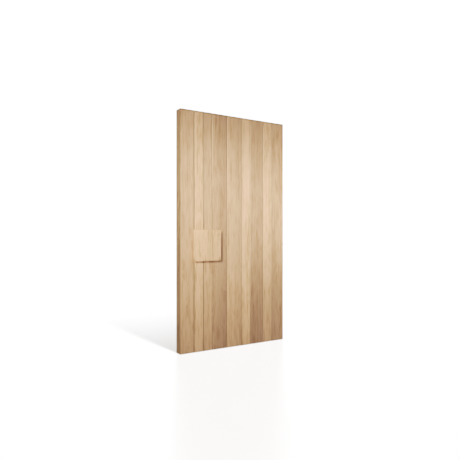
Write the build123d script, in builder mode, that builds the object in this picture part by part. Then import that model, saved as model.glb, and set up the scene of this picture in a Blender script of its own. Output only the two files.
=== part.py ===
from build123d import *
import os

# Oak-boarded front door leaf with a square wooden pull on both faces and three butt hinges.
# Frame: X across the leaf, -X the pull side and +X the hinge side. The outside face looks to -Y.
# Z is up, and the origin is the middle of the leaf's bottom edge. All sizes are in millimetres.

# The leaf
leaf_width = 1110.0
leaf_height = 2100.0
leaf_thickness = 80.0

# Facing boards, the same on both faces, listed from the pull side; the last one takes what is left
board_thickness = 16.0
board_widths = [133.0, 92.0, 88.0, 158.0, 158.0, 94.0, 154.0, 97.0]
joint_v = 5.0
edge_arris = 1.5
end_arris = 3.0
tongue_length = 6.0
tongue_thickness = 4.5
tongue_clearance = 0.15
groove_bottom_gap = 0.8

# Solid oak edging round the core, and the plywood under the boards
edging_thickness = 12.0
ply_thickness = 4.0

# Core frame
stile_width = 90.0
top_rail_height = 95.0
bottom_rail_height = 150.0
pull_rail_height = 300.0
dowel_radius = 6.0
dowel_length = 90.0
dowel_edge_distance = 26.0
dowel_clearance = 0.05
dowel_end_gap = 1.0

# Steel flat bars let into both broad faces of each stile
bar_width = 40.0
bar_thickness = 5.0
bar_from_inner_edge = 7.0
bar_short_of_end = 60.0

# Square pull: a slab on a smaller spacer, with a finger bevel milled round the slab's back
pull_side = 274.0
pull_from_edge = 247.0
pull_height = 929.0
pull_corner_radius = 8.0
slab_thickness = 20.0
slab_edge_land = 6.0
slab_bevel_inset = 20.0
slab_arris = 2.5
spacer_side = 150.0
spacer_thickness = 14.0

# Bolts that clamp the two pulls through the leaf, and the brass inserts that take them
bolt_spacing = 90.0
bolt_radius = 5.0
bolt_length = 95.0
bolt_hole_clearance = 0.5
bolt_seat = 5.0
bolt_head_radius = 8.0
bolt_head_height = 6.0
bolt_socket_radius = 4.6
bolt_socket_depth = 3.5
insert_radius = 7.0
insert_length = 12.0
insert_clearance = 0.05

# What joins each slab to its spacer: wood screws outside, pegs locked by grub screws inside
slab_fixing_spacing = 116.0
slab_screw_radius = 2.5
slab_screw_head_radius = 5.0
slab_screw_length = 28.0
screw_clearance = 0.05
peg_radius = 5.0
peg_in_slab = 12.0
peg_in_spacer = 11.0
peg_clearance = 0.05
grub_radius = 2.5
grub_recess = 0.5
grub_height_in_spacer = 7.0

# Butt hinges
hinge_height = 127.0
hinge_below_top = 150.0
hinge_above_bottom = 225.0
flap_thickness = 3.5
flap_reach = 59.0
flap_gap = 3.0
flap_corner_radius = 5.0
barrel_radius = 8.0
barrel_off_face = 1.0
pin_radius = 5.0
pin_clearance = 0.05
pin_head_radius = 7.5
pin_head_height = 4.0
pin_head_rounding = 3.0
pin_tip = 2.0
pin_tip_bevel = 1.5
knuckle_count = 5
knuckle_gap = 2.0
bearing_radius = 7.0
bearing_play = 0.2
hinge_screw_radius = 2.75
hinge_screw_head_radius = 5.3
hinge_screw_length = 50.0
hinge_hole_radius = 3.0
hinge_sink_radius = 5.5
hinge_sink_angle = 90.0
hinge_screw_from_edge = 10.0
hinge_screw_across = 16.0
hinge_screw_along = 90.0

# Places worked out from the sizes above
half_width = leaf_width / 2
half_thickness = leaf_thickness / 2
core_half = half_thickness - board_thickness - ply_thickness
edging_half = half_thickness - board_thickness
core_edge = half_width - edging_thickness
core_bottom = edging_thickness
core_top = leaf_height - edging_thickness
rail_end = core_edge - stile_width
# The three rails of the core frame, each by the height of its lower and upper edge
rails = {
    "rail_bottom": (core_bottom, core_bottom + bottom_rail_height),
    "rail_pull": (pull_height - pull_rail_height / 2, pull_height + pull_rail_height / 2),
    "rail_top": (core_top - top_rail_height, core_top),
}
# Depths of the pull's pieces, from the leaf's middle outwards
spacer_out = half_thickness + spacer_thickness
slab_out = spacer_out + slab_thickness
pull_x = -half_width + pull_from_edge
pin_x = half_width + flap_gap / 2
pin_y = half_thickness + barrel_off_face + barrel_radius
flap_edge_y = pin_y - flap_reach
hinge_screw_y = flap_edge_y + hinge_screw_from_edge + hinge_screw_across / 2
knuckle_length = (hinge_height - (knuckle_count - 1) * knuckle_gap) / knuckle_count
top_hinge_z = leaf_height - hinge_below_top - hinge_height / 2
bottom_hinge_z = hinge_above_bottom + hinge_height / 2
hinge_centres = {
    "top": top_hinge_z,
    "middle": (top_hinge_z + bottom_hinge_z) / 2,
    "bottom": bottom_hinge_z,
}
OUTSIDE = -1
INSIDE = 1

os.makedirs("parts", exist_ok=True)


def save(part, name):
    part.label = name
    export_step(part, f"parts/{name}.step")


def pull_plane(side, depth):
    """Plane on the pull's centre line, depth from the leaf's middle, facing out on that side."""
    return Plane(origin=(pull_x, side * depth, pull_height), x_dir=(-side, 0, 0), z_dir=(0, side, 0))


def cut_bolt_holes():
    """Bolt holes through whatever piece of the leaf is being built."""
    with BuildSketch(pull_plane(OUTSIDE, half_thickness)) as holes:
        with GridLocations(bolt_spacing, bolt_spacing, 2, 2):
            Circle(bolt_radius + bolt_hole_clearance)
    extrude(holes.sketch, amount=-leaf_thickness, mode=Mode.SUBTRACT)


def flap_outline(x, z_mid):
    """The outline of a hinge flap's plate at that X, with its two free corners rounded."""
    with BuildSketch(Plane.YZ.offset(x)) as outline:
        with Locations(((flap_edge_y + half_thickness) / 2, z_mid)):
            Rectangle(half_thickness - flap_edge_y, hinge_height)
        fillet(outline.vertices().group_by(Axis.X)[0], flap_corner_radius)
    return outline.sketch


def cut_flap_recesses():
    """Shallow gains for the leaf flaps, let in flush at the hinge edge."""
    for z_mid in hinge_centres.values():
        gain = flap_outline(half_width - flap_thickness, z_mid)
        extrude(gain, amount=flap_thickness, mode=Mode.SUBTRACT)


def flap_screw_plane(x, z_mid, outward):
    """Plane at the middle of a flap's screw pattern, with X outwards or inwards as its normal."""
    return Plane(origin=(x, hinge_screw_y, z_mid), x_dir=(0, 1, 0), z_dir=(outward, 0, 0))


def countersunk_screw(radius, head_radius, length, mode):
    """A screw, or the hole for one, at each current place: head flush, shank going inwards."""
    inwards = (Align.CENTER, Align.CENTER, Align.MAX)
    Cylinder(radius, length, align=inwards, mode=mode)
    Cone(radius, head_radius, head_radius - radius, align=inwards, mode=mode)


def leaf_flap_screws(clearance, mode):
    """The screws of the three leaf flaps, or their pilot holes."""
    for z_mid in hinge_centres.values():
        with Locations(flap_screw_plane(half_width, z_mid, 1)):
            with GridLocations(hinge_screw_across, hinge_screw_along, 2, 2):
                countersunk_screw(
                    hinge_screw_radius + clearance,
                    hinge_screw_head_radius + clearance,
                    hinge_screw_length + clearance,
                    mode,
                )


def make_board(side, number, x_left, x_right, first, last):
    """One tongued, grooved and V-jointed board of a face, as long as the leaf is high."""
    face = half_thickness
    back = half_thickness - board_thickness
    tongue_mid = (face - joint_v + back) / 2
    tongue_low = tongue_mid - tongue_thickness / 2
    tongue_high = tongue_mid + tongue_thickness / 2
    groove_low = tongue_low - tongue_clearance
    groove_high = tongue_high + tongue_clearance
    groove_x = x_left + tongue_length + groove_bottom_gap
    left_cut = edge_arris if first else joint_v
    right_cut = edge_arris if last else joint_v
    outline = [(x_left, face - left_cut), (x_left + left_cut, face)]
    outline += [(x_right - right_cut, face), (x_right, face - right_cut)]
    if not last:
        outline += [(x_right, tongue_high), (x_right + tongue_length, tongue_high)]
        outline += [(x_right + tongue_length, tongue_low), (x_right, tongue_low)]
    outline += [(x_right, back), (x_left, back)]
    if not first:
        outline += [(x_left, groove_low), (groove_x, groove_low)]
        outline += [(groove_x, groove_high), (x_left, groove_high)]
    with BuildPart() as board:
        with BuildSketch(Plane.XY):
            with BuildLine():
                Polyline([(x, side * y) for x, y in outline], close=True)
            make_face()
        extrude(amount=leaf_height)
        face_ends = edges().filter_by(Axis.X).filter_by_position(Axis.Y, side * face, side * face)
        chamfer(face_ends, end_arris)
        cut_bolt_holes()
        if last and side == INSIDE:
            cut_flap_recesses()
    face_name = "outside" if side == OUTSIDE else "inside"
    save(board.part, f"{face_name}_board_{number}")


def make_facing(side):
    """All the boards of one face, from the pull side to the hinge side."""
    widths = board_widths + [leaf_width - sum(board_widths)]
    x_left = -half_width
    for number, width in enumerate(widths, start=1):
        make_board(side, number, x_left, x_left + width, number == 1, number == len(widths))
        x_left += width


def make_side_edging(name, toward):
    """A full-height oak strip between the boards, flush with them at the leaf's edge."""
    with BuildPart() as edging:
        with BuildSketch(Plane.XY):
            with Locations((toward * (half_width - edging_thickness / 2), 0)):
                Rectangle(edging_thickness, 2 * edging_half)
        extrude(amount=leaf_height)
        if toward > 0:
            cut_flap_recesses()
            leaf_flap_screws(screw_clearance, Mode.SUBTRACT)
    save(edging.part, name)


def make_end_edging(name, z_low):
    """An oak strip that closes the top or the bottom of the core, between the side edgings."""
    with BuildPart() as edging:
        with BuildSketch(Plane.XY.offset(z_low)):
            Rectangle(2 * core_edge, 2 * edging_half)
        extrude(amount=edging_thickness)
    save(edging.part, name)


def make_ply(name, side):
    """The plywood sheet that keeps the core flat and carries the boards."""
    with BuildPart() as ply:
        with BuildSketch(Plane.XY.offset(core_bottom)):
            with Locations((0, side * (core_half + ply_thickness / 2))):
                Rectangle(2 * core_edge, ply_thickness)
        extrude(amount=core_top - core_bottom)
        cut_bolt_holes()
    save(ply.part, name)


def dowel_heights():
    """Two dowels in each rail end, a set distance inside the rail's edges."""
    heights = []
    for low, high in rails.values():
        heights += [low + dowel_edge_distance, high - dowel_edge_distance]
    return heights


def add_dowels(radius, length, mode):
    """Cylinders along X across every joint of a rail and a stile."""
    for x_joint in (-rail_end, rail_end):
        with Locations([(x_joint, 0, z) for z in dowel_heights()]):
            Cylinder(radius, length, rotation=(0, 90, 0), mode=mode)


def bar_middle(toward):
    """X of the middle of the flat bars in the stile on that side."""
    return toward * (rail_end + bar_from_inner_edge + bar_width / 2)


def add_bars(toward, side, mode):
    """One flat bar, or its groove, in a broad face of a stile."""
    with BuildSketch(Plane.XY.offset(core_bottom + bar_short_of_end)) as section:
        with Locations((bar_middle(toward), side * (core_half - bar_thickness / 2))):
            Rectangle(bar_width, bar_thickness)
    length = core_top - core_bottom - 2 * bar_short_of_end
    extrude(section.sketch, amount=length, mode=mode)


def make_stile(name, toward):
    """A core stile with its bar grooves, dowel holes and, on the hinge side, screw pilots."""
    with BuildPart() as stile:
        with BuildSketch(Plane.XY.offset(core_bottom)):
            with Locations((toward * (core_edge - stile_width / 2), 0)):
                Rectangle(stile_width, 2 * core_half)
        extrude(amount=core_top - core_bottom)
        add_bars(toward, OUTSIDE, Mode.SUBTRACT)
        add_bars(toward, INSIDE, Mode.SUBTRACT)
        add_dowels(dowel_radius + dowel_clearance, dowel_length + 2 * dowel_end_gap, Mode.SUBTRACT)
        if toward > 0:
            leaf_flap_screws(screw_clearance, Mode.SUBTRACT)
    save(stile.part, name)


def make_rail(name, z_low, z_high):
    """A rail between the stiles, bored for its dowels and for the pull bolts."""
    with BuildPart() as rail:
        with BuildSketch(Plane.XY.offset(z_low)):
            Rectangle(2 * rail_end, 2 * core_half)
        extrude(amount=z_high - z_low)
        add_dowels(dowel_radius + dowel_clearance, dowel_length + 2 * dowel_end_gap, Mode.SUBTRACT)
        cut_bolt_holes()
    save(rail.part, name)


def make_insulation(name, z_low, z_high):
    """A rigid foam panel that fills the core between two rails."""
    with BuildPart() as panel:
        with BuildSketch(Plane.XY.offset(z_low)):
            Rectangle(2 * rail_end, 2 * core_half)
        extrude(amount=z_high - z_low)
    save(panel.part, name)


def make_leaf():
    for side in (OUTSIDE, INSIDE):
        make_facing(side)
    make_side_edging("edging_pull_side", -1)
    make_side_edging("edging_hinge_side", 1)
    make_end_edging("edging_top", core_top)
    make_end_edging("edging_bottom", 0)
    make_ply("ply_outside", OUTSIDE)
    make_ply("ply_inside", INSIDE)
    make_stile("stile_pull_side", -1)
    make_stile("stile_hinge_side", 1)
    for name, (low, high) in rails.items():
        make_rail(name, low, high)
    make_insulation("insulation_lower", rails["rail_bottom"][1], rails["rail_pull"][0])
    make_insulation("insulation_upper", rails["rail_pull"][1], rails["rail_top"][0])
    with BuildPart() as dowels:
        add_dowels(dowel_radius, dowel_length, Mode.ADD)
    save(dowels.part, "frame_dowels")
    for stile, toward in (("pull", -1), ("hinge", 1)):
        for face_name, side in (("outside", OUTSIDE), ("inside", INSIDE)):
            with BuildPart() as bar:
                add_bars(toward, side, Mode.ADD)
            save(bar.part, f"flat_bar_{stile}_{face_name}")


def slab_blank(side):
    """The square slab, with its eased front arris and the finger bevel milled round its back."""
    land_depth = slab_out - slab_edge_land
    with BuildSketch(pull_plane(side, spacer_out)) as back:
        back_side = pull_side - 2 * slab_bevel_inset
        RectangleRounded(back_side, back_side, pull_corner_radius)
    with BuildSketch(pull_plane(side, land_depth)) as square:
        RectangleRounded(pull_side, pull_side, pull_corner_radius)
    loft([back.sketch, square.sketch])
    extrude(square.sketch, amount=slab_edge_land)
    front_face = faces().sort_by(Axis((0, 0, 0), (0, side, 0)))[-1]
    fillet(front_face.edges(), slab_arris)


def spacer_blank(side):
    """The smaller square block that holds the slab off the boards."""
    with BuildSketch(pull_plane(side, half_thickness)) as square:
        Rectangle(spacer_side, spacer_side)
    extrude(square.sketch, amount=spacer_thickness)


def slab_screws(clearance, mode):
    """Wood screws that go from the outside spacer's back into the slab."""
    seat = pull_plane(OUTSIDE, half_thickness)
    with Locations(Plane(seat.origin, x_dir=seat.x_dir, z_dir=-seat.z_dir)):
        with PolarLocations(slab_fixing_spacing / 2, 4):
            countersunk_screw(
                slab_screw_radius + clearance,
                slab_screw_head_radius + clearance,
                slab_screw_length + clearance,
                mode,
            )


def pegs(clearance, mode):
    """Steel pegs that carry the inside slab on its spacer."""
    with BuildSketch(pull_plane(INSIDE, spacer_out - peg_in_spacer - clearance)) as circles:
        with PolarLocations(slab_fixing_spacing / 2, 4):
            Circle(peg_radius + clearance)
    extrude(circles.sketch, amount=peg_in_spacer + peg_in_slab + 2 * clearance, mode=mode)


def grubs(radius, recess, inner_end, mode):
    """Cylinders from the spacer's sides and underside in to that distance from its middle."""
    outer_end = spacer_side / 2 - recess
    y = half_thickness + grub_height_in_spacer
    for x_in, z_in in ((1, 0), (-1, 0), (0, 1)):
        entry = Plane(
            origin=(pull_x - x_in * outer_end, y, pull_height - z_in * outer_end),
            x_dir=(0, 1, 0),
            z_dir=(x_in, 0, z_in),
        )
        with Locations(entry):
            Cylinder(
                radius,
                outer_end - inner_end,
                align=(Align.CENTER, Align.CENTER, Align.MIN),
                mode=mode,
            )


def bolt_cylinders(radius, height, depth, side, mode=Mode.ADD):
    """A cylinder at each of the four bolts, standing outwards from a depth on that side."""
    with BuildSketch(pull_plane(side, depth)) as circles:
        with GridLocations(bolt_spacing, bolt_spacing, 2, 2):
            Circle(radius)
    extrude(circles.sketch, amount=height, mode=mode)


def make_pulls():
    with BuildPart() as outside_slab:
        slab_blank(OUTSIDE)
        slab_screws(screw_clearance, Mode.SUBTRACT)
    save(outside_slab.part, "pull_slab_outside")

    with BuildPart() as outside_spacer:
        spacer_blank(OUTSIDE)
        slab_screws(screw_clearance, Mode.SUBTRACT)
        hole_radius = insert_radius + insert_clearance
        bolt_cylinders(hole_radius, insert_length, half_thickness, OUTSIDE, Mode.SUBTRACT)
    save(outside_spacer.part, "pull_spacer_outside")

    with BuildPart() as inserts:
        thread_radius = bolt_radius + insert_clearance
        bolt_cylinders(insert_radius, insert_length, half_thickness, OUTSIDE)
        bolt_cylinders(thread_radius, insert_length, half_thickness, OUTSIDE, Mode.SUBTRACT)
    save(inserts.part, "pull_inserts")

    with BuildPart() as wood_screws:
        slab_screws(0, Mode.ADD)
    save(wood_screws.part, "pull_screws")

    with BuildPart() as inside_slab:
        slab_blank(INSIDE)
        pegs(peg_clearance, Mode.SUBTRACT)
    save(inside_slab.part, "pull_slab_inside")

    head_depth = half_thickness + bolt_seat
    with BuildPart() as inside_spacer:
        spacer_blank(INSIDE)
        pegs(peg_clearance, Mode.SUBTRACT)
        grubs(grub_radius + screw_clearance, 0, slab_fixing_spacing / 2, Mode.SUBTRACT)
        hole_radius = bolt_radius + bolt_hole_clearance
        bolt_cylinders(hole_radius, spacer_thickness, half_thickness, INSIDE, Mode.SUBTRACT)
        sink_radius = bolt_head_radius + bolt_hole_clearance
        bolt_cylinders(sink_radius, spacer_thickness - bolt_seat, head_depth, INSIDE, Mode.SUBTRACT)
    save(inside_spacer.part, "pull_spacer_inside")

    with BuildPart() as bolts:
        bolt_cylinders(bolt_head_radius, bolt_head_height, head_depth, INSIDE)
        bolt_cylinders(bolt_radius, -bolt_length, head_depth, INSIDE)
        with BuildSketch(pull_plane(INSIDE, head_depth + bolt_head_height)):
            with GridLocations(bolt_spacing, bolt_spacing, 2, 2):
                RegularPolygon(bolt_socket_radius, 6)
        extrude(amount=-bolt_socket_depth, mode=Mode.SUBTRACT)
    save(bolts.part, "pull_bolts")

    with BuildPart() as peg_set:
        pegs(0, Mode.ADD)
    save(peg_set.part, "pull_pegs")

    peg_surface = slab_fixing_spacing / 2 + peg_radius + peg_clearance
    with BuildPart() as grub_set:
        grubs(grub_radius, grub_recess, peg_surface, Mode.ADD)
    save(grub_set.part, "pull_grub_screws")


def knuckle_low(z_mid, number):
    """Height of the lower end of a knuckle, counted from 0 at the bottom."""
    return z_mid - hinge_height / 2 + number * (knuckle_length + knuckle_gap)


def make_flap(name, z_mid, x_low, first_knuckle, sink_plane):
    """A hinge flap: plate, the knuckles that are its own, their bore, and countersunk holes."""
    with BuildPart() as flap:
        extrude(flap_outline(x_low, z_mid), amount=flap_thickness)
        for number in range(first_knuckle, knuckle_count, 2):
            with BuildSketch(Plane.XY.offset(knuckle_low(z_mid, number))):
                with Locations((pin_x, pin_y)):
                    Circle(barrel_radius)
                with Locations((x_low + flap_thickness / 2, (half_thickness + pin_y) / 2)):
                    Rectangle(flap_thickness, pin_y - half_thickness)
            extrude(amount=knuckle_length)
        with BuildSketch(Plane.XY.offset(z_mid - hinge_height / 2)):
            with Locations((pin_x, pin_y)):
                Circle(pin_radius + pin_clearance)
        extrude(amount=hinge_height, mode=Mode.SUBTRACT)
        with Locations(sink_plane):
            with GridLocations(hinge_screw_across, hinge_screw_along, 2, 2):
                CounterSinkHole(hinge_hole_radius, hinge_sink_radius, flap_thickness, hinge_sink_angle)
    save(flap.part, name)


def make_hinge_pin(name, z_mid):
    """The hinge pin, with a domed head that rests on the top knuckle and a bevelled tip."""
    upwards = (Align.CENTER, Align.CENTER, Align.MIN)
    with BuildPart() as pin:
        with Locations((pin_x, pin_y, z_mid - hinge_height / 2 - pin_tip)):
            Cylinder(pin_radius, hinge_height + pin_tip, align=upwards)
        chamfer(edges().sort_by(Axis.Z)[0], pin_tip_bevel)
        with Locations((pin_x, pin_y, z_mid + hinge_height / 2)):
            Cylinder(pin_head_radius, pin_head_height, align=upwards)
        fillet(edges().sort_by(Axis.Z)[-1], pin_head_rounding)
    save(pin.part, name)


def make_hinges():
    leaf_x = half_width - flap_thickness
    frame_x = half_width + flap_gap
    for place, z_mid in hinge_centres.items():
        leaf_sinks = flap_screw_plane(half_width, z_mid, 1)
        frame_sinks = flap_screw_plane(frame_x, z_mid, -1)
        make_flap(f"hinge_{place}_leaf_flap", z_mid, leaf_x, 0, leaf_sinks)
        make_flap(f"hinge_{place}_frame_flap", z_mid, frame_x, 1, frame_sinks)
        make_hinge_pin(f"hinge_{place}_pin", z_mid)

    with BuildPart() as bearings:
        for z_mid in hinge_centres.values():
            for number in range(1, knuckle_count):
                z_low = knuckle_low(z_mid, number) - knuckle_gap + bearing_play
                with BuildSketch(Plane.XY.offset(z_low)):
                    with Locations((pin_x, pin_y)):
                        Circle(bearing_radius)
                        Circle(pin_radius + pin_clearance, mode=Mode.SUBTRACT)
                extrude(amount=knuckle_gap - 2 * bearing_play)
    save(bearings.part, "hinge_bearings")

    with BuildPart() as screws:
        leaf_flap_screws(0, Mode.ADD)
    save(screws.part, "hinge_screws")


make_leaf()
make_pulls()
make_hinges()
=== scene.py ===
import math

import bmesh
import bpy
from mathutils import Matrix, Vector


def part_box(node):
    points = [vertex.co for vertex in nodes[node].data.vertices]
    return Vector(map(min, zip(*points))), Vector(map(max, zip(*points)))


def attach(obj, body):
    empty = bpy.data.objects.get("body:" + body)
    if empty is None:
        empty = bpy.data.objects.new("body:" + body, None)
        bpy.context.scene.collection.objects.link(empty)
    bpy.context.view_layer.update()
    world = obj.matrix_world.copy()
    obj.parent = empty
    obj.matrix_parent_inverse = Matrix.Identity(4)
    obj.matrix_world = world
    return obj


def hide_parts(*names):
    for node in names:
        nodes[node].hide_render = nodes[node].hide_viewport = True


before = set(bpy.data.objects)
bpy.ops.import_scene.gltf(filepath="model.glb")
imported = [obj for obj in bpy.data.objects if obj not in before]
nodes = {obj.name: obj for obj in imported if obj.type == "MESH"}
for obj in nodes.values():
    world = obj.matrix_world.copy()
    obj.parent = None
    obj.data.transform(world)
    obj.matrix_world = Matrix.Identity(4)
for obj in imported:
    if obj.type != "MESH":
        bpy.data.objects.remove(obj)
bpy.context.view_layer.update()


# Facing boards. Nine solid oak boards stand side by side on each face of the leaf, machined with
# tongues and V joints, glued down and finished with a matt oil. Each was cut from another part of
# the log, so each has its own tone, its own growth rings and a darker or paler foot.

def wire(tree, socket, value):
    """Puts a number, a vector or another node's output into a socket."""
    if isinstance(value, bpy.types.NodeSocket):
        tree.links.new(value, socket)
    else:
        socket.default_value = value


def calc(tree, operation, a, b=0.0, c=0.0):
    """A Math node's output."""
    node = tree.nodes.new("ShaderNodeMath")
    node.operation = operation
    for socket, value in zip(node.inputs, (a, b, c)):
        wire(tree, socket, value)
    return node.outputs[0]


def stretched_noise(tree, place, per_metre, seed, detail):
    """Noise with its own fineness along each axis, such as long streaks up a board."""
    scale = tree.nodes.new("ShaderNodeVectorMath")
    scale.operation = "MULTIPLY"
    wire(tree, scale.inputs[0], place)
    scale.inputs[1].default_value = per_metre
    noise = tree.nodes.new("ShaderNodeTexNoise")
    noise.noise_dimensions = "4D"
    wire(tree, noise.inputs["Vector"], scale.outputs[0])
    wire(tree, noise.inputs["W"], seed)
    noise.inputs["Scale"].default_value = 1.0
    noise.inputs["Detail"].default_value = detail
    noise.inputs["Roughness"].default_value = 0.5
    return noise.outputs["Fac"]


def spread(tree, value, low, high, to_low=0.0, to_high=1.0, easing="LINEAR"):
    """A Map Range node's output, held between its ends."""
    node = tree.nodes.new("ShaderNodeMapRange")
    node.interpolation_type = easing
    for socket, number in zip(node.inputs, (value, low, high, to_low, to_high)):
        wire(tree, socket, number)
    return node.outputs[0]


def blend_colour(tree, factor, a, b, mode="MIX"):
    """A Mix node's colour output."""
    node = tree.nodes.new("ShaderNodeMix")
    node.data_type = "RGBA"
    node.blend_type = mode
    wire(tree, node.inputs["Factor"], factor)
    wire(tree, node.inputs["A"], a)
    wire(tree, node.inputs["B"], b)
    return node.outputs["Result"]


# How far the pith wanders across and in depth up a board, and the rings' own ripple. Features to a
# metre are counted across, in depth and up the grain.
SWAY_ACROSS = 0.10
SWAY_DEEP = 0.07
RIPPLE = 0.008
RIPPLES_PER_METRE = (24, 24, 3.5)
# An eye's half width, how far the rings swell round it, and how much darker it is
EYE_HALF_WIDTH = 0.011
EYE_SWELL = 0.02
EYE_DARK = 0.3
# Streaks and blotches: features to a metre across and up the grain, and their share in the figure
STREAKS = ((9, 0.6, 0.35), (36, 0.8, 0.50), (30, 7.0, 0.55), (110, 1.8, 0.60), (160, 12.0, 0.80))
FINE_LINES_PER_METRE = (420, 420, 6.0)
FINE_LINE_SHARE = 0.45
PORES_PER_METRE = (1500, 1500, 55)
PORE_SHARE = 0.16
# The foot's own tone holds up to the first height and is gone at the second
FOOT_UP_TO = 0.35
FOOT_GONE_AT = 1.15
# The band at a board's upper end: its depth, the depth where it's gone, and its tone
TOP_BAND = 0.008
TOP_BAND_GONE_AT = 0.015
TOP_BAND_TONE = 0.62
# How fast green and blue fall, next to red, where painted shade and oil darken an edge
EDGE_GREEN_FALL = 0.98
EDGE_BLUE_FALL = 1.25


def build_oak_figure():
    """Growth rings round a wandering pith, ray streaks and pores, for timber that stands along Z."""
    tree = bpy.data.node_groups.new("oak_figure", "ShaderNodeTree")
    face = tree.interface
    for name, kind, value in (
        ("Early Wood", "NodeSocketColor", (0.66, 0.401, 0.245, 1)),
        ("Late Wood", "NodeSocketColor", (0.35, 0.180, 0.083, 1)),
        ("Tone", "NodeSocketFloat", 1.0),
        ("Tone Slope", "NodeSocketFloat", 0.0),
        ("Tone Middle", "NodeSocketFloat", 0.0),
        ("Foot Tone", "NodeSocketFloat", 1.0),
        ("Arris Tone", "NodeSocketFloat", 1.0),
        ("Side Tone", "NodeSocketFloat", 1.0),
        ("Top Height", "NodeSocketFloat", 100.0),
        ("Flame Height", "NodeSocketFloat", 0.2),
        ("Pith Across", "NodeSocketFloat", 0.3),
        ("Pith Depth", "NodeSocketFloat", 0.05),
        ("Pith Drift", "NodeSocketFloat", 0.0),
        ("Pith Lean", "NodeSocketFloat", 0.01),
        ("Ring Width", "NodeSocketFloat", 0.0045),
        ("Ring Strength", "NodeSocketFloat", 0.4),
        ("Streakiness", "NodeSocketFloat", 2.2),
        ("Eye Across", "NodeSocketFloat", 0.0),
        ("Eye Height", "NodeSocketFloat", 0.0),
        ("Eye Length", "NodeSocketFloat", 0.05),
        ("Eye Strength", "NodeSocketFloat", 0.0),
        ("Stave Left", "NodeSocketFloat", -50.0),
        ("Stave Width", "NodeSocketFloat", 100.0),
        ("Stave Contrast", "NodeSocketFloat", 0.0),
        ("Seed", "NodeSocketFloat", 0.0),
    ):
        face.new_socket(name, in_out="INPUT", socket_type=kind).default_value = value
    face.new_socket("Colour", in_out="OUTPUT", socket_type="NodeSocketColor")
    face.new_socket("Roughness", in_out="OUTPUT", socket_type="NodeSocketFloat")
    face.new_socket("Height", in_out="OUTPUT", socket_type="NodeSocketFloat")
    given = tree.nodes.new("NodeGroupInput").outputs
    place = tree.nodes.new("ShaderNodeTexCoord").outputs["Object"]
    split = tree.nodes.new("ShaderNodeSeparateXYZ")
    wire(tree, split.inputs[0], place)
    x, y, z = split.outputs

    # Which stave of a glued-up piece a point is in: each stave has its own figure
    from_left = calc(tree, "SUBTRACT", x, given["Stave Left"])
    stave = calc(tree, "FLOOR", calc(tree, "DIVIDE", from_left, given["Stave Width"]))
    seed = calc(tree, "MULTIPLY_ADD", stave, 7.3, given["Seed"])

    # Distance from the pith. It passes behind the piece at the flame's height, where the grain
    # shows arches, and drifts and leans away from there
    up = tree.nodes.new("ShaderNodeCombineXYZ")
    wire(tree, up.inputs["Z"], z)
    sway_x = stretched_noise(tree, up.outputs[0], (1, 1, 0.9), seed, 1.0)
    sway_y = stretched_noise(tree, up.outputs[0], (1, 1, 1.6), calc(tree, "ADD", seed, 31.0), 2.0)
    climb = calc(tree, "SUBTRACT", z, given["Flame Height"])
    off_x = calc(tree, "SUBTRACT", x, given["Pith Across"])
    off_x = calc(tree, "MULTIPLY_ADD", climb, given["Pith Drift"], off_x)
    off_x = calc(tree, "MULTIPLY_ADD", calc(tree, "SUBTRACT", sway_x, 0.5), SWAY_ACROSS, off_x)
    off_y = calc(tree, "MULTIPLY_ADD", climb, given["Pith Lean"], given["Pith Depth"])
    off_y = calc(tree, "MULTIPLY_ADD", calc(tree, "SUBTRACT", sway_y, 0.5), SWAY_DEEP, off_y)
    off_y = calc(tree, "ADD", off_y, y)
    squares = calc(tree, "ADD", calc(tree, "MULTIPLY", off_x, off_x), calc(tree, "MULTIPLY", off_y, off_y))
    ripple = stretched_noise(tree, place, RIPPLES_PER_METRE, seed, 3.0)
    radius = calc(tree, "MULTIPLY_ADD", ripple, RIPPLE, calc(tree, "SQRT", squares))

    # An eye, where the rings swell round a small branch
    eye_x = calc(tree, "DIVIDE", calc(tree, "SUBTRACT", x, given["Eye Across"]), EYE_HALF_WIDTH)
    eye_z = calc(tree, "DIVIDE", calc(tree, "SUBTRACT", z, given["Eye Height"]), given["Eye Length"])
    reach = calc(tree, "MULTIPLY_ADD", eye_x, eye_x, calc(tree, "MULTIPLY", eye_z, eye_z))
    falling = calc(tree, "EXPONENT", calc(tree, "MULTIPLY", reach, -1.0))
    eye = calc(tree, "MULTIPLY", given["Eye Strength"], falling)
    radius = calc(tree, "MULTIPLY_ADD", eye, EYE_SWELL, radius)

    # The dark part of each ring grows through the year and ends sharply
    turns = calc(tree, "DIVIDE", radius, given["Ring Width"])
    part = calc(tree, "FRACT", turns)
    late = calc(tree, "MULTIPLY", spread(tree, part, 0.15, 0.8), spread(tree, part, 1.0, 0.85))

    # Rings differ in how dark they are from year to year
    year = tree.nodes.new("ShaderNodeTexNoise")
    year.noise_dimensions = "1D"
    year.inputs["Scale"].default_value = 1.0
    year.inputs["Detail"].default_value = 1.0
    wire(tree, year.inputs["W"], calc(tree, "MULTIPLY_ADD", turns, 0.37, seed))
    late = calc(tree, "MULTIPLY", late, spread(tree, year.outputs["Fac"], 0.25, 0.75, 0.25, 1.3))

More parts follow.
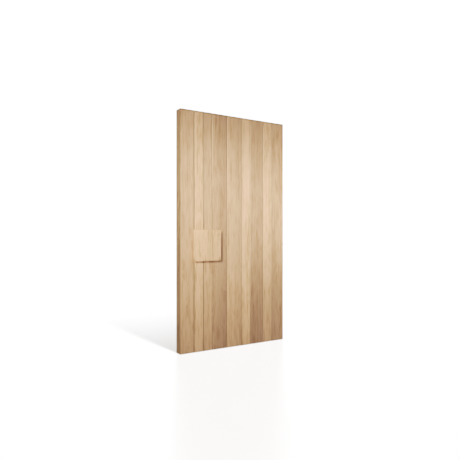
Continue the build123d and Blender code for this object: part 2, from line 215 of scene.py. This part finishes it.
    # Streaks and blotches, fine lines and short pores
    streaks = 0.0
    for across, up_grain, share in STREAKS:
        patch = stretched_noise(tree, place, (across, across, up_grain), seed, 3.0)
        streaks = calc(tree, "MULTIPLY_ADD", calc(tree, "SUBTRACT", patch, 0.5), share, streaks)
    dark = calc(tree, "MULTIPLY_ADD", late, given["Ring Strength"], 0.02)
    dark = calc(tree, "MULTIPLY_ADD", streaks, given["Streakiness"], dark)
    fine = stretched_noise(tree, place, FINE_LINES_PER_METRE, seed, 2.0)
    pores = spread(tree, stretched_noise(tree, place, PORES_PER_METRE, seed, 1.0), 0.60, 0.72)
    dark = calc(tree, "MULTIPLY_ADD", calc(tree, "SUBTRACT", fine, 0.5), FINE_LINE_SHARE, dark)
    dark = calc(tree, "MULTIPLY_ADD", pores, PORE_SHARE, dark)
    dark = calc(tree, "MULTIPLY_ADD", eye, EYE_DARK, dark)
    held = tree.nodes.new("ShaderNodeClamp")
    wire(tree, held.inputs["Value"], dark)
    colour = blend_colour(tree, held.outputs[0], given["Early Wood"], given["Late Wood"])

    # Tone of the piece, of each stave, across the piece, and of timber from nearer the root
    chance = tree.nodes.new("ShaderNodeTexWhiteNoise")
    chance.noise_dimensions = "1D"
    wire(tree, chance.inputs["W"], calc(tree, "ADD", seed, 0.5))
    luck = calc(tree, "SUBTRACT", chance.outputs["Value"], 0.5)
    of_stave = calc(tree, "MULTIPLY_ADD", luck, given["Stave Contrast"], 1.0)
    from_middle = calc(tree, "SUBTRACT", x, given["Tone Middle"])
    of_place = calc(tree, "MULTIPLY_ADD", from_middle, given["Tone Slope"], 1.0)
    of_foot = spread(tree, z, FOOT_UP_TO, FOOT_GONE_AT, given["Foot Tone"], 1.0, easing="SMOOTHSTEP")
    tone = calc(tree, "MULTIPLY", given["Tone"], of_stave)
    tone = calc(tree, "MULTIPLY", tone, of_place)
    tone = calc(tree, "MULTIPLY", tone, of_foot)

    # Painted shade: faces that don't look out from the leaf, its sides and ends, come out darker than
    # the face, as if out of the light. Arrises such as the V joints' walls are darker, partly from oil and
    # partly as painted shade, and a band at each board's upper end is darker too
    turned = tree.nodes.new("ShaderNodeVectorTransform")
    turned.vector_type = "NORMAL"
    turned.convert_from = "WORLD"
    turned.convert_to = "OBJECT"
    wire(tree, turned.inputs[0], tree.nodes.new("ShaderNodeNewGeometry").outputs["True Normal"])
    parts = tree.nodes.new("ShaderNodeSeparateXYZ")
    wire(tree, parts.inputs[0], turned.outputs[0])
    facing = calc(tree, "ABSOLUTE", parts.outputs["Y"])
    # Arrises such as the V joints' walls come out darker: partly oil, partly painted shade
    arris = calc(tree, "MULTIPLY", spread(tree, facing, 0.95, 0.85), spread(tree, facing, 0.4, 0.5))
    edge = spread(tree, arris, 0, 1, 1.0, given["Arris Tone"])
    # Painted shade: faces that don't look out from the leaf come out darker
    edge = calc(tree, "MULTIPLY", edge, spread(tree, facing, 0.5, 0.4, 1.0, given["Side Tone"]))
    from_top = calc(tree, "SUBTRACT", given["Top Height"], z)
    at_top = spread(tree, from_top, TOP_BAND, TOP_BAND_GONE_AT, TOP_BAND_TONE, 1.0)
    edge = calc(tree, "MULTIPLY", edge, at_top)

    # This painted shade and oil are a little warmer too: there blue falls faster than red and green
    green_edge = calc(tree, "POWER", edge, EDGE_GREEN_FALL)
    blue_edge = calc(tree, "POWER", edge, EDGE_BLUE_FALL)
    gains = tree.nodes.new("ShaderNodeCombineColor")
    wire(tree, gains.inputs["Red"], calc(tree, "MULTIPLY", tone, edge))
    wire(tree, gains.inputs["Green"], calc(tree, "MULTIPLY", tone, green_edge))
    wire(tree, gains.inputs["Blue"], calc(tree, "MULTIPLY", tone, blue_edge))
    colour = blend_colour(tree, 1.0, colour, gains.outputs[0], "MULTIPLY")

    rough = spread(tree, fine, 0.3, 0.7, 0.50, 0.62)
    height = calc(tree, "MULTIPLY_ADD", pores, -0.8, calc(tree, "MULTIPLY", late, -0.35))
    height = calc(tree, "MULTIPLY_ADD", fine, 0.4, height)
    out = tree.nodes.new("NodeGroupOutput")
    wire(tree, out.inputs["Colour"], colour)
    wire(tree, out.inputs["Roughness"], rough)
    wire(tree, out.inputs["Height"], height)
    return tree


oak_figure = build_oak_figure()
PORE_DEPTH = 0.0002


def oak(name, **settings):
    """Matt oiled oak. The settings are the figure's inputs by name, with _ for a space."""
    material = bpy.data.materials.new(name)
    material.use_nodes = True
    tree = material.node_tree
    shader = tree.nodes["Principled BSDF"]
    figure = tree.nodes.new("ShaderNodeGroup")
    figure.node_tree = oak_figure
    for key, value in settings.items():
        figure.inputs[key.replace("_", " ")].default_value = value
    bump = tree.nodes.new("ShaderNodeBump")
    bump.inputs["Strength"].default_value = 0.5
    bump.inputs["Distance"].default_value = PORE_DEPTH
    wire(tree, bump.inputs["Height"], figure.outputs["Height"])
    wire(tree, shader.inputs["Base Color"], figure.outputs["Colour"])
    wire(tree, shader.inputs["Roughness"], figure.outputs["Roughness"])
    wire(tree, shader.inputs["Normal"], bump.outputs[0])
    shader.inputs["Specular IOR Level"].default_value = 0.35
    return material


def dress(node_name, material):
    """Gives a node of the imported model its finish."""
    mesh = nodes[node_name].data
    mesh.materials.clear()
    mesh.materials.append(material)
    for polygon in mesh.polygons:
        polygon.material_index = 0


# Each board: its tone, the tone of its foot, the darkening of its V joint (oil and painted shade),
# and how far its pith lies to the side and behind it
BOARDS = [
    (0.95, 1.11, 0.60, 0.010, 0.085),
    (1.20, 1.02, 0.46, 0.220, 0.040),
    (0.93, 1.15, 0.46, 0.260, 0.060),
    (0.83, 0.92, 0.72, 0.045, 0.070),
    (0.93, 1.13, 0.75, 0.240, 0.090),
    (1.19, 1.05, 0.50, -0.210, 0.050),
    (0.88, 0.79, 0.72, 0.180, 0.110),
    (1.21, 0.84, 0.72, -0.240, 0.045),
    (1.02, 0.77, 0.58, 0.200, 0.100),
]
# Arches in the grain: board number, their height, and the pith's drift to the side per metre up
FLAMES = {1: (0.15, 0.10), 4: (0.45, -0.12)}
USUAL_FLAME = (1.0, 0.02)
# Eyes: board number, place across from its middle, height, length up the board, strength
EYES = {5: (0.012, 1.36, 0.045, 0.8), 9: (0.006, 2.02, 0.12, 0.7)}
NO_EYE = (0.0, 0.0, 0.05, 0.0)
# How much lighter some boards get per metre across
SLOPES = {3: 0.8, 4: -2.0, 5: -1.4, 6: 0.6, 7: -0.6, 9: 1.1}
# How strong the rings and the streaks are: board 1 is calmer than the others
FIGURES = {1: (0.28, 1.7)}
USUAL_FIGURE = (0.4, 2.2)
PITH_LEAN = 0.035
# Painted shade on faces that don't look out from the leaf: how dark they come out next to the face
PAINTED_SIDE_SHADE = 0.56
FACING_SEEDS = {"outside": 3.0, "inside": 57.0}
SEED_STEP = 11.0

for facing, first_seed in FACING_SEEDS.items():
    for number, (tone, foot, joint, pith_aside, pith_behind) in enumerate(BOARDS, start=1):
        board = f"{facing}_board_{number}"
        low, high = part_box(board)
        middle = (low + high) / 2
        outward = 1 if facing == "inside" else -1
        flame_height, drift = FLAMES.get(number, USUAL_FLAME)
        eye_aside, eye_height, eye_length, eye_strength = EYES.get(number, NO_EYE)
        ring_strength, streakiness = FIGURES.get(number, USUAL_FIGURE)
        dress(board, oak(
            f"oak_{board}",
            Tone=tone,
            Tone_Middle=middle.x,
            Tone_Slope=SLOPES.get(number, 0.0),
            Foot_Tone=foot,
            Arris_Tone=joint,
            Side_Tone=PAINTED_SIDE_SHADE,
            Top_Height=high.z,
            Flame_Height=flame_height,
            Pith_Across=middle.x + pith_aside,
            Pith_Depth=outward * pith_behind - middle.y,
            Pith_Drift=drift,
            Pith_Lean=PITH_LEAN if number % 2 else -PITH_LEAN,
            Eye_Across=middle.x + eye_aside,
            Eye_Height=eye_height,
            Eye_Length=eye_length,
            Eye_Strength=eye_strength,
            Ring_Strength=ring_strength,
            Streakiness=streakiness,
            Seed=first_seed + SEED_STEP * number,
        ))


# Edgings. Four strips of the same oak close the edges of the core between the boards of the two
# faces, glued on and planed flush. Their faces along the leaf's edges carry painted shade, darker
# and warmer than the face along the leaf's whole height.
for place, seed in (("pull_side", 2.0), ("hinge_side", 14.0), ("top", 25.0), ("bottom", 36.0)):
    dress(f"edging_{place}", oak(
        f"oak_edging_{place}", Tone=0.97, Side_Tone=PAINTED_SIDE_SHADE, Ring_Strength=0.35, Seed=seed,
    ))


# Core. A frame of plain joinery timber with dowelled joints, filled with rigid foam and faced with
# plywood on both sides. Steel flat bars let into the stiles keep the leaf straight. None of it
# shows once the leaf is glued up.
for member, seed in (
    ("stile_pull_side", 91.0), ("stile_hinge_side", 92.0), ("rail_top", 93.0),
    ("rail_pull", 94.0), ("rail_bottom", 95.0), ("frame_dowels", 96.0),
):
    dress(member, oak(f"timber_{member}", Tone=0.9, Seed=seed))
for sheet_name in ("ply_outside", "ply_inside"):
    dress(sheet_name, oak(f"veneer_{sheet_name}", Tone=1.05, Ring_Strength=0.25, Seed=120.0))


SPECKLE_DEPTH = 0.0001


def speckled(name, dark, light, per_metre, roughness, metallic=0.0):
    """A plain finish whose tone, gloss and height vary a little, with so many features per metre."""
    material = bpy.data.materials.new(name)
    material.use_nodes = True
    tree = material.node_tree
    shader = tree.nodes["Principled BSDF"]
    place = tree.nodes.new("ShaderNodeTexCoord").outputs["Object"]
    grain = stretched_noise(tree, place, per_metre, 0.0, 3.0)
    colour = blend_colour(tree, spread(tree, grain, 0.3, 0.7), (*dark, 1), (*light, 1))
    gloss = spread(tree, grain, 0.3, 0.7, roughness - 0.05, roughness + 0.05)
    wire(tree, shader.inputs["Base Color"], colour)
    wire(tree, shader.inputs["Roughness"], gloss)
    shader.inputs["Metallic"].default_value = metallic
    bump = tree.nodes.new("ShaderNodeBump")
    bump.inputs["Strength"].default_value = 0.4
    bump.inputs["Distance"].default_value = SPECKLE_DEPTH
    wire(tree, bump.inputs["Height"], grain)
    wire(tree, shader.inputs["Normal"], bump.outputs[0])
    return material


foam = speckled(
    "rigid_foam",
    dark=(0.80, 0.74, 0.52),
    light=(0.86, 0.81, 0.60),
    per_metre=(700, 700, 700),
    roughness=0.85,
)
for panel in ("insulation_lower", "insulation_upper"):
    dress(panel, foam)
drawn_steel = speckled(
    "bright_drawn_steel",
    dark=(0.42, 0.42, 0.43),
    light=(0.50, 0.50, 0.51),
    per_metre=(900, 900, 12),
    roughness=0.35,
    metallic=1.0,
)
for stile in ("pull", "hinge"):
    for facing in ("outside", "inside"):
        dress(f"flat_bar_{stile}_{facing}", drawn_steel)


# Pulls. A square slab glued up from four oak staves stands off each face on a smaller oak spacer.
# Its front arris is eased and a bevel for the fingers is milled round its back. Bolts through the
# leaf clamp the two pulls together; pegs and grub screws hold the inside slab on its spacer.
STAVES = 4
SLAB_EARLY_WOOD = (0.66, 0.393, 0.230, 1)
SLAB_PITH_ASIDE = 0.12
PULL_SEEDS = {"outside": (200.0, 209.0), "inside": (260.0, 269.0)}

for facing, (slab_seed, spacer_seed) in PULL_SEEDS.items():
    slab = f"pull_slab_{facing}"
    low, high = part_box(slab)
    middle_x = (low.x + high.x) / 2
    dress(slab, oak(
        f"oak_{slab}",
        Tone=1.13,
        Early_Wood=SLAB_EARLY_WOOD,
        Tone_Middle=middle_x,
        Pith_Across=middle_x + SLAB_PITH_ASIDE,
        Pith_Depth=0.16,
        Pith_Lean=0.05,
        Stave_Left=low.x,
        Stave_Width=(high.x - low.x) / STAVES,
        Stave_Contrast=0.07,
        Streakiness=3.4,
        Tone_Slope=-0.4,
        Seed=slab_seed,
    ))
    dress(f"pull_spacer_{facing}", oak(f"oak_pull_spacer_{facing}", Tone=0.95, Seed=spacer_seed))
for fixing in ("pull_bolts", "pull_pegs", "pull_grub_screws", "pull_screws"):
    dress(fixing, drawn_steel)
dress("pull_inserts", speckled(
    "machined_brass",
    dark=(0.62, 0.46, 0.20),
    light=(0.72, 0.56, 0.28),
    per_metre=(500, 500, 500),
    roughness=0.3,
    metallic=1.0,
))


# Hinges. Three butt hinges of satin stainless steel, their leaf flaps let in flush at the hinge
# edge. They are brushed along their height, with a darker bearing ring between the knuckles.
satin_steel = speckled(
    "satin_stainless",
    dark=(0.40, 0.40, 0.39),
    light=(0.50, 0.50, 0.49),
    per_metre=(1400, 1400, 20),
    roughness=0.36,
    metallic=1.0,
)
for place in ("top", "middle", "bottom"):
    for piece in ("leaf_flap", "frame_flap", "pin"):
        dress(f"hinge_{place}_{piece}", satin_steel)
dress("hinge_bearings", speckled(
    "bearing_steel",
    dark=(0.24, 0.24, 0.25),
    light=(0.31, 0.31, 0.32),
    per_metre=(800, 800, 800),
    roughness=0.28,
    metallic=1.0,
))


# Hinge screws. Twelve countersunk stainless screws hold the leaf flaps, driven through the edging
# into the hinge stile. Each has a six-lobed recess in its head and a rolled thread down its shank.
HINGES = 3
SCREW_LENGTH = 0.050
HEAD_RADIUS = 0.0053
HEAD_RIM = 0.0002
SHANK_RADIUS = 0.00275
PLAIN_SHANK = 0.012
TIP_LENGTH = 0.006
THREAD_PITCH = 0.0024
THREAD_DEPTH = 0.0007
THREAD_SHARPNESS = 3.2
RECESS_RADIUS = 0.0019
RECESS_DEPTH = 0.0024
RECESS_LOBES = 6
RECESS_LOBE = 0.0003
RECESS_EASING = 0.0001
SCREW_SEGMENTS = 24
ROWS_PER_TURN = 5


def screw_row(row_radius, height, lobe=0.0, thread_phase=None):
    """One ring of a screw's skin. A recess swells and narrows six times round; a thread spirals."""
    ring = []
    for step in range(SCREW_SEGMENTS):
        angle = 2 * math.pi * step / SCREW_SEGMENTS
        reach = row_radius + lobe * math.cos(RECESS_LOBES * angle)
        if thread_phase is not None:
            turn = (thread_phase + step / SCREW_SEGMENTS) % 1.0
            crest = max(0.0, 1 - abs(turn - 0.5) * THREAD_SHARPNESS)
            reach -= THREAD_DEPTH * (1 - crest)
        ring.append((reach * math.cos(angle), reach * math.sin(angle), height))
    return ring


def build_screw():
    """One screw with its head in the plane z = 0, its shank going down."""
    rows = [
        screw_row(RECESS_RADIUS * 0.55, -RECESS_DEPTH),
        screw_row(RECESS_RADIUS * 0.92, -RECESS_DEPTH * 0.9, RECESS_LOBE),
        screw_row(RECESS_RADIUS, -RECESS_EASING, RECESS_LOBE),
        screw_row(RECESS_RADIUS * 1.06, 0.0, RECESS_LOBE),
        screw_row(HEAD_RADIUS * 0.97, 0.0),
        screw_row(HEAD_RADIUS, -HEAD_RIM),
        screw_row(SHANK_RADIUS, SHANK_RADIUS - HEAD_RADIUS),
        screw_row(SHANK_RADIUS, -PLAIN_SHANK),
    ]
    threaded = SCREW_LENGTH - PLAIN_SHANK - TIP_LENGTH
    steps = int(threaded / THREAD_PITCH * ROWS_PER_TURN)
    for step in range(1, steps + 1):
        down = threaded * step / steps
        rows.append(screw_row(SHANK_RADIUS, -PLAIN_SHANK - down, thread_phase=down / THREAD_PITCH))
    tip_steps = int(TIP_LENGTH / THREAD_PITCH * ROWS_PER_TURN)
    for step in range(1, tip_steps):
        share = step / tip_steps
        down = threaded + TIP_LENGTH * share
        narrowed = SHANK_RADIUS * math.sqrt(1 - share)
        phase = down / THREAD_PITCH if narrowed > 2 * THREAD_DEPTH else None
        rows.append(screw_row(narrowed, -PLAIN_SHANK - down, thread_phase=phase))
    form = bmesh.new()
    rings = [[form.verts.new(point) for point in row] for row in rows]
    for above, below in zip(rings, rings[1:]):
        for i in range(SCREW_SEGMENTS):
            j = (i + 1) % SCREW_SEGMENTS
            form.faces.new((above[i], above[j], below[j], below[i]))
    for ring, height in ((rings[0], -RECESS_DEPTH), (rings[-1], -SCREW_LENGTH)):
        centre = form.verts.new((0, 0, height))
        for i in range(SCREW_SEGMENTS):
            form.faces.new((centre, ring[i], ring[(i + 1) % SCREW_SEGMENTS]))
    bmesh.ops.recalc_face_normals(form, faces=form.faces)
    mesh = bpy.data.meshes.new("screw")
    form.to_mesh(mesh)
    form.free()
    return mesh


def set_input(modifier, tree, name, value):
    """Sets a modifier's named input by its socket identifier."""
    for item in tree.interface.items_tree:
        if item.item_type == "SOCKET" and item.in_out == "INPUT" and item.name == name:
            modifier[item.identifier] = value
            return
    raise KeyError(name)


def build_screw_pattern(material):
    """Geometry Nodes: the input screw at the four places of a flap, and that for each hinge."""
    tree = bpy.data.node_groups.new("screw_pattern", "GeometryNodeTree")
    face = tree.interface
    face.new_socket("Geometry", in_out="INPUT", socket_type="NodeSocketGeometry")
    for name in ("Across", "Along", "Hinge Step", "Face X", "Pattern Y", "Lowest Z"):
        face.new_socket(name, in_out="INPUT", socket_type="NodeSocketFloat")
    face.new_socket("Geometry", in_out="OUTPUT", socket_type="NodeSocketGeometry")
    link = tree.links.new
    given = tree.nodes.new("NodeGroupInput").outputs
    grid = tree.nodes.new("GeometryNodeMeshGrid")
    link(given["Across"], grid.inputs["Size X"])
    link(given["Along"], grid.inputs["Size Y"])
    grid.inputs["Vertices X"].default_value = 2
    grid.inputs["Vertices Y"].default_value = 2
    flap = tree.nodes.new("GeometryNodeInstanceOnPoints")
    link(grid.outputs["Mesh"], flap.inputs["Points"])
    link(given["Geometry"], flap.inputs["Instance"])
    line = tree.nodes.new("GeometryNodeMeshLine")
    line.inputs["Count"].default_value = HINGES
    step = tree.nodes.new("ShaderNodeCombineXYZ")
    link(given["Hinge Step"], step.inputs["Z"])
    link(step.outputs[0], line.inputs["Offset"])
    start = tree.nodes.new("ShaderNodeCombineXYZ")
    link(given["Face X"], start.inputs["X"])
    link(given["Pattern Y"], start.inputs["Y"])
    link(given["Lowest Z"], start.inputs["Z"])
    link(start.outputs[0], line.inputs["Start Location"])
    hinges = tree.nodes.new("GeometryNodeInstanceOnPoints")
    link(line.outputs["Mesh"], hinges.inputs["Points"])
    link(flap.outputs["Instances"], hinges.inputs["Instance"])
    # Turned so that the grid's X runs along Y, its Y along Z, and the heads look along X
    hinges.inputs["Rotation"].default_value = (math.radians(90), 0, math.radians(90))
    real = tree.nodes.new("GeometryNodeRealizeInstances")
    link(hinges.outputs["Instances"], real.inputs["Geometry"])
    finish = tree.nodes.new("GeometryNodeSetMaterial")
    finish.inputs["Material"].default_value = material
    link(real.outputs["Geometry"], finish.inputs["Geometry"])
    out = tree.nodes.new("NodeGroupOutput")
    link(finish.outputs["Geometry"], out.inputs["Geometry"])
    return tree


def bake_modifier(thing, name):
    """Turns an object with a live modifier into a new plain mesh object, and drops the old one."""
    bpy.context.view_layer.update()
    mesh = bpy.data.meshes.new_from_object(thing.evaluated_get(bpy.context.evaluated_depsgraph_get()))
    bpy.data.objects.remove(thing)
    piece = bpy.data.objects.new(name, mesh)
    bpy.context.scene.collection.objects.link(piece)
    return piece


flap_low, flap_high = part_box("hinge_bottom_leaf_flap")
upper_low, upper_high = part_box("hinge_top_leaf_flap")
screws_low, screws_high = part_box("hinge_screws")
lowest_hinge = (flap_low.z + flap_high.z) / 2
highest_hinge = (upper_low.z + upper_high.z) / 2
between_hinges = highest_hinge - lowest_hinge
first_screw = bpy.data.objects.new("first_screw", build_screw())
bpy.context.scene.collection.objects.link(first_screw)
pattern = build_screw_pattern(satin_steel)
modifier = first_screw.modifiers.new("pattern", "NODES")
modifier.node_group = pattern
set_input(modifier, pattern, "Across", screws_high.y - screws_low.y - 2 * HEAD_RADIUS)
set_input(modifier, pattern, "Along", screws_high.z - screws_low.z - 2 * HEAD_RADIUS - between_hinges)
set_input(modifier, pattern, "Hinge Step", between_hinges / (HINGES - 1))
set_input(modifier, pattern, "Face X", screws_high.x)
set_input(modifier, pattern, "Pattern Y", (screws_low.y + screws_high.y) / 2)
set_input(modifier, pattern, "Lowest Z", lowest_hinge)
threaded_screws = bake_modifier(first_screw, "threaded_hinge_screws")
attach(threaded_screws, "leaf")
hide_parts("hinge_screws")


# Floor. A plain white studio floor that runs on past the view, painted matt with a faint sheen. Only
# the camera sees it: it sends no light up to the leaf and shows in no reflection.
FLOOR_REACH = 40.0
FLOOR_PAINT = (0.85, 0.85, 0.85, 1)
FLOOR_SHEEN = 0.30
SHEEN_ROUGHNESS = 0.28
floor_mesh = bpy.data.meshes.new("floor")
corners = [
    (-FLOOR_REACH, -FLOOR_REACH, 0),
    (FLOOR_REACH, -FLOOR_REACH, 0),
    (FLOOR_REACH, FLOOR_REACH, 0),
    (-FLOOR_REACH, FLOOR_REACH, 0),
]
floor_mesh.from_pydata(corners, [], [(0, 1, 2, 3)])
floor = bpy.data.objects.new("floor", floor_mesh)
bpy.context.scene.collection.objects.link(floor)
floor_paint = bpy.data.materials.new("white_floor")
floor_paint.use_nodes = True
floor_tree = floor_paint.node_tree
floor_tree.nodes.clear()
matt = floor_tree.nodes.new("ShaderNodeBsdfDiffuse")
matt.inputs["Color"].default_value = FLOOR_PAINT
sheen = floor_tree.nodes.new("ShaderNodeBsdfGlossy")
sheen.inputs["Roughness"].default_value = SHEEN_ROUGHNESS
both = floor_tree.nodes.new("ShaderNodeMixShader")
both.inputs["Fac"].default_value = FLOOR_SHEEN
floor_tree.links.new(matt.outputs[0], both.inputs[1])
floor_tree.links.new(sheen.outputs[0], both.inputs[2])
floor_tree.links.new(both.outputs[0], floor_tree.nodes.new("ShaderNodeOutputMaterial").inputs["Surface"])
floor_mesh.materials.append(floor_paint)
floor.visible_diffuse = False
floor.visible_glossy = False


# Studio light on the leaf. Two panels throw nearly parallel light through graded scrims that hold it
# back at the foot and the top: a key from high on the left, which lays the pull's shadow to its
# lower right, and a fill from nearly straight ahead. Two lamps behind light the back and hinge side.
def limit_light(lamp, state):
    """INCLUDE: the light reaches only the floor. EXCLUDE: it reaches everything but the floor."""
    lit = bpy.data.collections.new(f"{lamp.name}_reaches")
    lit.objects.link(floor)
    lit.collection_objects[0].light_linking.link_state = state
    lamp.light_linking.receiver_collection = lit


def add_sun(name, to_light, strength, softness, state):
    """A distant light, given by the direction from the leaf to it; softness is its angle in degrees."""
    data = bpy.data.lights.new(name, "SUN")
    data.energy = strength
    data.angle = math.radians(softness)
    lamp = bpy.data.objects.new(name, data)
    lamp.rotation_euler = Vector(to_light).to_track_quat("Z", "Y").to_euler()
    bpy.context.scene.collection.objects.link(lamp)
    limit_light(lamp, state)
    return lamp


PANEL_SIZE = (2.4, 2.6)
PANEL_DISTANCE = 3.0
BEAM_ANGLE = 12.0
LEAF_MIDDLE = Vector((0, 0, 1.05))
# How fast green and blue fall where a scrim holds the light back, next to red
SCRIM_GREEN_FALL = 1.06
SCRIM_BLUE_FALL = 1.16


def add_panel(name, to_light, power, scrim):
    """A panel as large as the leaf. Its scrim lists heights up the panel, from 0 to 1, with what
    share of the light gets through there."""
    direction = Vector(to_light).normalized()
    data = bpy.data.lights.new(name, "AREA")
    data.shape = "RECTANGLE"
    data.size, data.size_y = PANEL_SIZE
    data.energy = power
    data.spread = math.radians(BEAM_ANGLE)
    data.use_nodes = True
    tree = data.node_tree
    on_panel = tree.nodes.new("ShaderNodeSeparateXYZ")
    wire(tree, on_panel.inputs[0], tree.nodes.new("ShaderNodeNewGeometry").outputs["Parametric"])
    ramp = tree.nodes.new("ShaderNodeValToRGB")
    wire(tree, ramp.inputs["Fac"], on_panel.outputs["Y"])
    ramp.color_ramp.interpolation = "B_SPLINE"
    for _ in scrim[2:]:
        ramp.color_ramp.elements.new(0.5)
    for stop, (height, share) in zip(ramp.color_ramp.elements, scrim):
        stop.position = height
        stop.color = (share, share ** SCRIM_GREEN_FALL, share ** SCRIM_BLUE_FALL, 1)
    wire(tree, tree.nodes["Emission"].inputs["Color"], ramp.outputs["Color"])
    lamp = bpy.data.objects.new(name, data)
    lamp.location = LEAF_MIDDLE + direction * PANEL_DISTANCE
    lamp.rotation_euler = direction.to_track_quat("Z", "Y").to_euler()
    lamp.visible_camera = False
    bpy.context.scene.collection.objects.link(lamp)
    limit_light(lamp, "EXCLUDE")


KEY_SCRIM = (
    (0.0, 0.47), (0.09, 0.53), (0.17, 0.585), (0.29, 0.70), (0.42, 0.855), (0.54, 1.0),
    (0.63, 1.0), (0.73, 0.91), (0.815, 0.785), (1.0, 0.60),
)
FILL_SCRIM = (
    (0.0, 0.06), (0.12, 0.19), (0.23, 0.38), (0.35, 0.56), (0.53, 0.92), (0.61, 1.0),
    (0.69, 1.0), (0.79, 0.70), (0.88, 0.14), (1.0, 0.02),
)
add_panel("key", to_light=(-1.25, -1.0, 0.58), power=32.8, scrim=KEY_SCRIM)
add_panel("fill", to_light=(-0.35, -1.0, 0.06), power=14.2, scrim=FILL_SCRIM)
add_sun("behind", to_light=(0.8, 1.0, 0.5), strength=2.9, softness=10.0, state="EXCLUDE")
add_sun("behind_fill", to_light=(0.1, 1.0, 0.15), strength=1.3, softness=20.0, state="EXCLUDE")


# Studio light on the floor. Light from above, which the leaf doesn't hold back, makes it white; a row
# of lights high in front lays the leaf's faint shadow straight back. The room is white to the camera,
# behind the leaf it's white in reflections, and it's dim otherwise.
# Elevations of the row's lights, in degrees
ROW_ELEVATIONS = range(46, 83, 6)
# Brightness of the white backdrop, and of the rest of the room
WHITE = 2.3
ROOM = 0.12
CAMERA_HEADING = (0.532, 0.847, 0)

above = add_sun("floor_from_above", to_light=(0, 0, 1.0), strength=2.95, softness=1.0, state="INCLUDE")
above.light_linking.blocker_collection = above.light_linking.receiver_collection
for elevation in ROW_ELEVATIONS:
    up = math.tan(math.radians(elevation))
    add_sun(
        f"floor_row_{elevation}", to_light=(0.06, -1.0, up), strength=0.98, softness=4.0, state="INCLUDE",
    )

world = bpy.data.worlds.new("studio")
bpy.context.scene.world = world
world.use_nodes = True
sky = world.node_tree
sky.nodes.clear()
rays = sky.nodes.new("ShaderNodeLightPath")
ahead = sky.nodes.new("ShaderNodeVectorMath")
ahead.operation = "DOT_PRODUCT"
wire(sky, ahead.inputs[0], sky.nodes.new("ShaderNodeTexCoord").outputs["Generated"])
ahead.inputs[1].default_value = CAMERA_HEADING
backdrop = spread(sky, ahead.outputs["Value"], 0.65, 0.85)
in_reflections = calc(sky, "MULTIPLY", rays.outputs["Is Glossy Ray"], backdrop)
white_share = calc(sky, "MAXIMUM", rays.outputs["Is Camera Ray"], in_reflections)
glow = sky.nodes.new("ShaderNodeBackground")
glow.inputs["Color"].default_value = (1, 1, 1, 1)
wire(sky, glow.inputs["Strength"], spread(sky, white_share, 0, 1, ROOM, WHITE))
sky.links.new(glow.outputs[0], sky.nodes.new("ShaderNodeOutputWorld").inputs["Surface"])


# Exposure. The picture is developed like a photograph: the tones up to a middle grey keep their
# value, the lighter ones are held back, and white is reached at WHITE_POINT.
WHITE_POINT = 2.2
SHOULDER = ((0.10, 0.095), (0.22, 0.222), (0.36, 0.367), (0.60, 0.533), (1.0, 0.70), (1.5, 0.85))
view = bpy.context.scene.view_settings
view.view_transform = "Standard"
view.look = "None"
view.use_curve_mapping = True
view.curve_mapping.white_level = (WHITE_POINT, WHITE_POINT, WHITE_POINT)
all_channels = view.curve_mapping.curves[3]
for light_in, shown in SHOULDER:
    all_channels.points.new(light_in / WHITE_POINT, shown)
view.curve_mapping.update()


# Camera. Level, about a metre above the floor, left of the leaf and turned towards it, as the
# photograph was taken. The frame is 460 pixels square; the horizon lies a little below its middle.
FRAME_PIXELS = 460
FOCAL_PIXELS = 465.6
HORIZON_PIXEL_Y = 234.7
SENSOR = 36.0
CAMERA_PLACE = (-2.306, -3.622, 1.022)
camera_data = bpy.data.cameras.new("camera")
camera_data.sensor_width = SENSOR
camera_data.lens = FOCAL_PIXELS / FRAME_PIXELS * SENSOR
camera_data.shift_y = (HORIZON_PIXEL_Y - FRAME_PIXELS / 2) / FRAME_PIXELS
camera_data.clip_end = 200.0
camera = bpy.data.objects.new("camera", camera_data)
camera.location = CAMERA_PLACE
camera.rotation_euler = Vector(CAMERA_HEADING).to_track_quat("-Z", "Y").to_euler()
bpy.context.scene.collection.objects.link(camera)
bpy.context.scene.camera = camera
